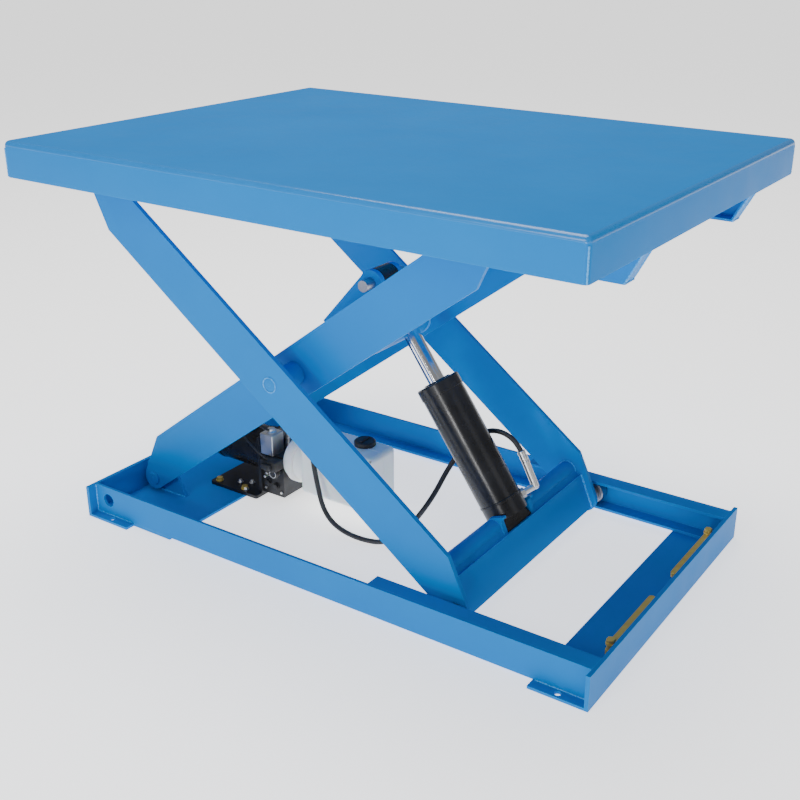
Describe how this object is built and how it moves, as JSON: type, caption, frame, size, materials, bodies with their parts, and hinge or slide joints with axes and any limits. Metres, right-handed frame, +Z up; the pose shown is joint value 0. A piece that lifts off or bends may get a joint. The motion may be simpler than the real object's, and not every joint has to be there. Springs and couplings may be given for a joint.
{
  "type": "scissor lift table",
  "caption": "Hydraulic scissor lift table: flat skirted deck on crossed flat-bar legs, channel-rail base, one cylinder, power pack and swing-out maintenance bars.",
  "frame": {"origin": "on the floor, under the centre of the deck and of the base", "axes": "+X along the deck's long side towards the roller end, +Z up; the two sides are alike about the XZ plane apart from the power unit, hose and maintenance bars"},
  "size_m": [1.23, 0.9144, 0.8445],
  "materials": {
    "blue_paint": "satin bright blue powder coat",
    "black_paint": "gloss black enamel",
    "black_block": "black anodised block",
    "black_plastic": "moulded black plastic",
    "white_tank": "natural white blow-moulded plastic",
    "chrome_rod": "hard chrome, ground",
    "piston_iron": "turned iron",
    "pump_alloy": "cast aluminium",
    "rotor_steel": "varnished laminations",
    "roller_steel": "turned steel",
    "pin_steel": "ground steel",
    "zinc_plate": "yellow zinc plate",
    "zinc_silver": "clear zinc plate",
    "hose_rubber": "rubber-covered wire-braid hose"
  },
  "bodies": {
    "base": {"floor_plate_left": "blue_paint", "floor_plate_right": "blue_paint", "base_end_left": "blue_paint", "base_end_right": "blue_paint", "base_rail_near": "blue_paint", "base_rail_far": "blue_paint", "roller_guides": "blue_paint", "base_brackets": "blue_paint", "base_pins": "blue_paint", "unit_bracket": "black_block", "unit_screws": "zinc_plate", "motor_can": "black_paint", "valve_block": "black_block", "solenoid_valve": "zinc_silver", "solenoid_coil": "black_plastic", "gear_pump": "pump_alloy", "oil_tank": "white_tank", "pump_fitting": "zinc_silver", "bar_studs": "zinc_plate", "hose_pump_run": "hose_rubber"},
    "motor_rotor": {"motor_rotor": "rotor_steel"},
    "lowering_knob": {"lowering_knob": "black_plastic"},
    "tank_cap": {"tank_cap": "black_plastic"},
    "hose_sag": {"hose_sag": "hose_rubber"},
    "hose_arch": {"hose_arch": "hose_rubber"},
    "maintenance_bar_near": {"maintenance_bar_near": "zinc_plate"},
    "maintenance_bar_far": {"maintenance_bar_far": "zinc_plate"},
    "inner_legs": {"q_leg_near": "blue_paint", "q_leg_far": "blue_paint", "q_cross_tube": "blue_paint", "q_ears": "blue_paint", "rod_pin": "pin_steel", "q_axles": "pin_steel"},
    "outer_legs": {"p_leg_near": "blue_paint", "p_leg_far": "blue_paint", "p_cross_plate": "blue_paint", "p_cradle": "blue_paint", "barrel_pin": "zinc_plate", "p_axles": "pin_steel", "centre_pins": "blue_paint"},
    "lower_roller_near": {"lower_roller_near": "roller_steel"},
    "lower_roller_far": {"lower_roller_far": "roller_steel"},
    "upper_roller_near": {"upper_roller_near": "roller_steel"},
    "upper_roller_far": {"upper_roller_far": "roller_steel"},
    "platform": {"deck_plate": "blue_paint", "skirt_near": "blue_paint", "skirt_far": "blue_paint", "skirt_left": "blue_paint", "skirt_right": "blue_paint", "upper_track_near": "blue_paint", "upper_track_far": "blue_paint", "deck_brackets": "blue_paint", "deck_pins": "pin_steel"},
    "barrel": {"cylinder_barrel": "black_paint", "cylinder_gland": "black_paint", "cylinder_base": "black_paint", "barrel_fitting": "zinc_silver"},
    "rod": {"piston_rod": "chrome_rod", "piston": "piston_iron", "rod_eye": "black_paint"}
  },
  "joints": [
    {"name": "lift_fold", "type": "hinge", "parent": "base", "child": "inner_legs", "pos_m": [-0.5729, 0, 0.0395], "axis": [0, 1, 0], "range_deg": [0, 32.72]},
    {"name": "centre_pivot", "type": "hinge", "parent": "inner_legs", "child": "outer_legs", "pos_m": [-0.13719, 0, 0.39605], "axis": [0, 1, 0], "range_deg": [-65.46, 0]},
    {"name": "deck_pivot", "type": "hinge", "parent": "outer_legs", "child": "platform", "pos_m": [-0.5729, 0, 0.7526], "axis": [0, 1, 0], "range_deg": [0, 32.74]},
    {"name": "barrel_pivot", "type": "hinge", "parent": "outer_legs", "child": "barrel", "pos_m": [0.26326, 0, 0.08882], "axis": [0, 1, 0], "range_deg": [-1.3, 0]},
    {"name": "rod_slide", "type": "slide", "parent": "barrel", "child": "rod", "axis": [-0.5726, 0, 0.8198], "range_m": [-0.19049, 0]},
    {"name": "lower_roller_near_spin", "type": "hinge", "parent": "outer_legs", "child": "lower_roller_near", "pos_m": [0.29851, -0.315, 0.0395], "axis": [0, 1, 0], "continuous": true},
    {"name": "lower_roller_far_spin", "type": "hinge", "parent": "outer_legs", "child": "lower_roller_far", "pos_m": [0.29851, 0.315, 0.0395], "axis": [0, 1, 0], "continuous": true},
    {"name": "upper_roller_near_spin", "type": "hinge", "parent": "inner_legs", "child": "upper_roller_near", "pos_m": [0.29851, -0.238, 0.7526], "axis": [0, 1, 0], "continuous": true},
    {"name": "upper_roller_far_spin", "type": "hinge", "parent": "inner_legs", "child": "upper_roller_far", "pos_m": [0.29851, 0.238, 0.7526], "axis": [0, 1, 0], "continuous": true},
    {"name": "bar_near_swing", "type": "hinge", "parent": "base", "child": "maintenance_bar_near", "pos_m": [0.587, -0.216, 0.039], "axis": [0, 0, -1], "range_deg": [-90, 0]},
    {"name": "bar_far_swing", "type": "hinge", "parent": "base", "child": "maintenance_bar_far", "pos_m": [0.587, 0.265, 0.039], "axis": [0, 0, 1], "range_deg": [-90, 0]},
    {"name": "motor_spin", "type": "hinge", "parent": "base", "child": "motor_rotor", "pos_m": [-0.43, -0.025, 0.102], "axis": [1, 0, 0], "continuous": true},
    {"name": "lowering_push", "type": "slide", "parent": "base", "child": "lowering_knob", "axis": [0, 1, 0], "range_m": [0, 0.004], "stiffness_N_per_m": 2500, "springref_m": -0.001},
    {"name": "filler_cap_turn", "type": "hinge", "parent": "base", "child": "tank_cap", "pos_m": [-0.104, -0.012, 0.175], "axis": [0, 0, 1], "range_deg": [0, 90]},
    {"name": "hose_shift", "type": "slide", "parent": "base", "child": "hose_sag", "axis": [0.9504, 0, -0.3112], "range_m": [0, 0.17121], "deforming": ["hose_sag"]},
    {"name": "hose_turn", "type": "hinge", "parent": "hose_sag", "child": "hose_arch", "pos_m": [0.252, 0.061, 0.206], "axis": [0, 1, 0], "range_deg": [-34.02, 0], "deforming": ["hose_arch"]}
  ],
  "couplings": [
    {"joint": "centre_pivot", "follows": "lift_fold", "ratio": -2},
    {"joint": "deck_pivot", "follows": "lift_fold", "ratio": 1},
    {"joint": "barrel_pivot", "follows": "lift_fold", "ratio": -0.03903},
    {"joint": "rod_slide", "follows": "lift_fold", "m_per_rad": -0.33321},
    {"joint": "hose_shift", "follows": "lift_fold", "m_per_rad": 0.29944},
    {"joint": "hose_turn", "follows": "lift_fold", "ratio": -1.039}
  ]
}
